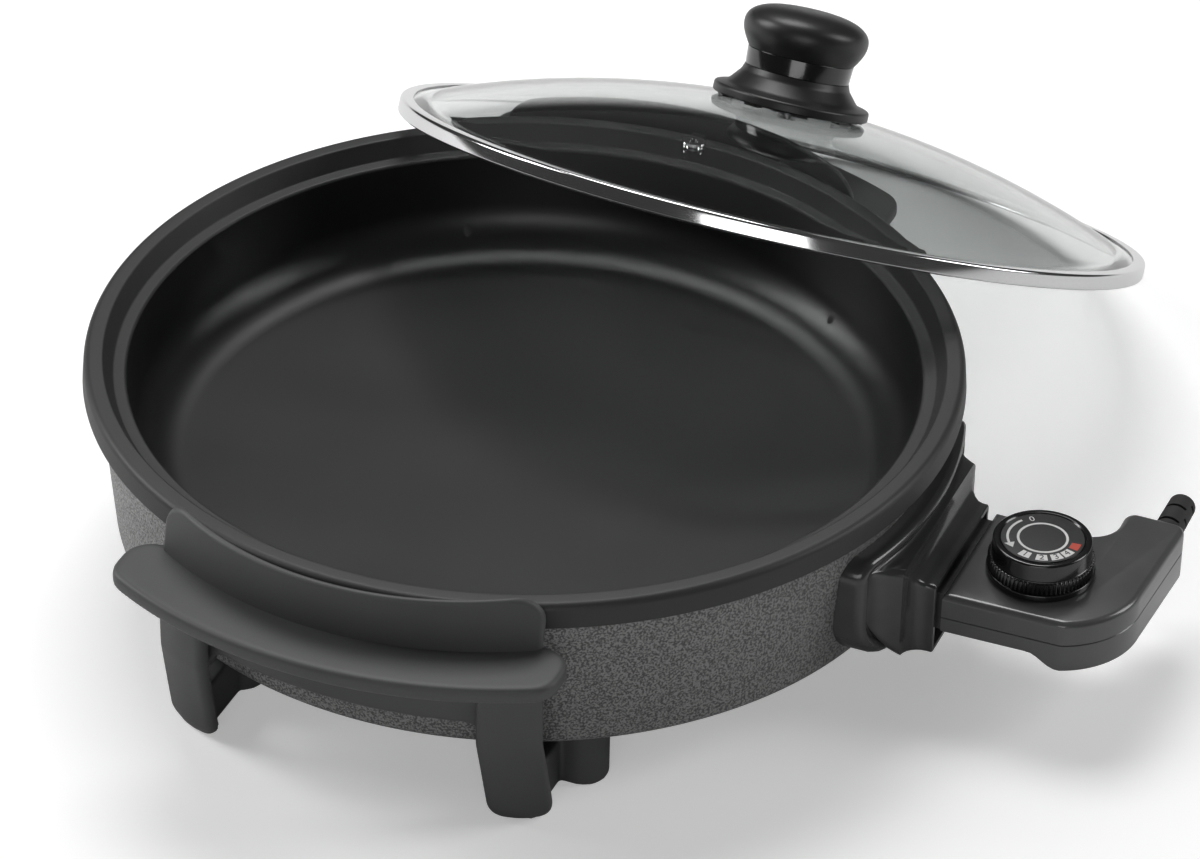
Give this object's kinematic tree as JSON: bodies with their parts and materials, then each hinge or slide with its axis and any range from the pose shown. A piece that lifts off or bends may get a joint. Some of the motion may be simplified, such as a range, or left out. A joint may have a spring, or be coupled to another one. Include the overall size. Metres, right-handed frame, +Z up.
{
  "type": "electric party pan",
  "caption": "Round electric frying pan on two legged handles, with a loose domed glass lid leaning behind it and a pull-out control plug with a temperature dial.",
  "frame": {"origin": "on the pan's vertical axis, at table level", "axes": "+Z up, +X from the pan towards the control plug, +Y towards the rear handle and the lid behind it"},
  "size_m": [0.5258, 0.6597, 0.1802],
  "materials": {
    "cast_body": "die cast, grey hammertone coating outside and dark non-stick coating inside",
    "handle_phenolic": "fine matt heat-resistant moulding",
    "knob_phenolic": "satin heat-resistant moulding",
    "phenolic": "satin black moulding",
    "plug_plastic": "glossy black",
    "disc_plastic": "black with white print",
    "lid_glass": "clear tempered",
    "band_steel": "polished stainless steel",
    "probe_steel": "stainless tube",
    "element_sheath": "oxidised sheath",
    "plated_pin": "nickel plate",
    "zinc_steel": "zinc plated",
    "brass": "plain",
    "ceramic": "pale ceramic or mica",
    "seal_rubber": "matt black"
  },
  "bodies": {
    "base": {"pan_bowl": "cast_body", "heating_element": "element_sheath", "contact_pins": "plated_pin", "pin_insulators": "ceramic", "probe_sleeve": "brass", "earth_spring": "brass", "socket_housing": "phenolic", "socket_screws": "zinc_steel", "front_handle": "handle_phenolic", "rear_handle": "handle_phenolic", "front_heat_guard": "handle_phenolic", "rear_heat_guard": "handle_phenolic", "handle_screws": "zinc_steel", "guard_screws": "zinc_steel"},
    "lid": {"lid_glass": "lid_glass", "lid_band": "band_steel", "steam_vent": "band_steel", "knob_skirt": "knob_phenolic", "knob_band": "plug_plastic", "knob_cap": "knob_phenolic", "knob_gasket": "seal_rubber", "knob_washer": "zinc_steel", "knob_screw": "zinc_steel"},
    "plug": {"plug_upper_shell": "plug_plastic", "plug_lower_shell": "plug_plastic", "contact_block": "phenolic", "contact_tubes": "brass", "temperature_probe": "probe_steel", "thermostat_switch": "ceramic", "shell_screws": "zinc_steel", "strain_relief": "seal_rubber"},
    "dial": {"dial": "plug_plastic", "dial_disc": "disc_plastic", "dial_spindle": "zinc_steel"}
  },
  "joints": [
    {"name": "lid_lift", "type": "slide", "parent": "base", "child": "lid", "axis": [0, 0, 1], "range_m": [0, 0.15]},
    {"name": "plug_pull", "type": "slide", "parent": "base", "child": "plug", "axis": [1, 0, 0], "range_m": [0, 0.1]},
    {"name": "dial_turn", "type": "hinge", "parent": "plug", "child": "dial", "pos_m": [0.263, 0, 0.066], "axis": [0, 0, 1], "range_deg": [0, 240]}
  ]
}
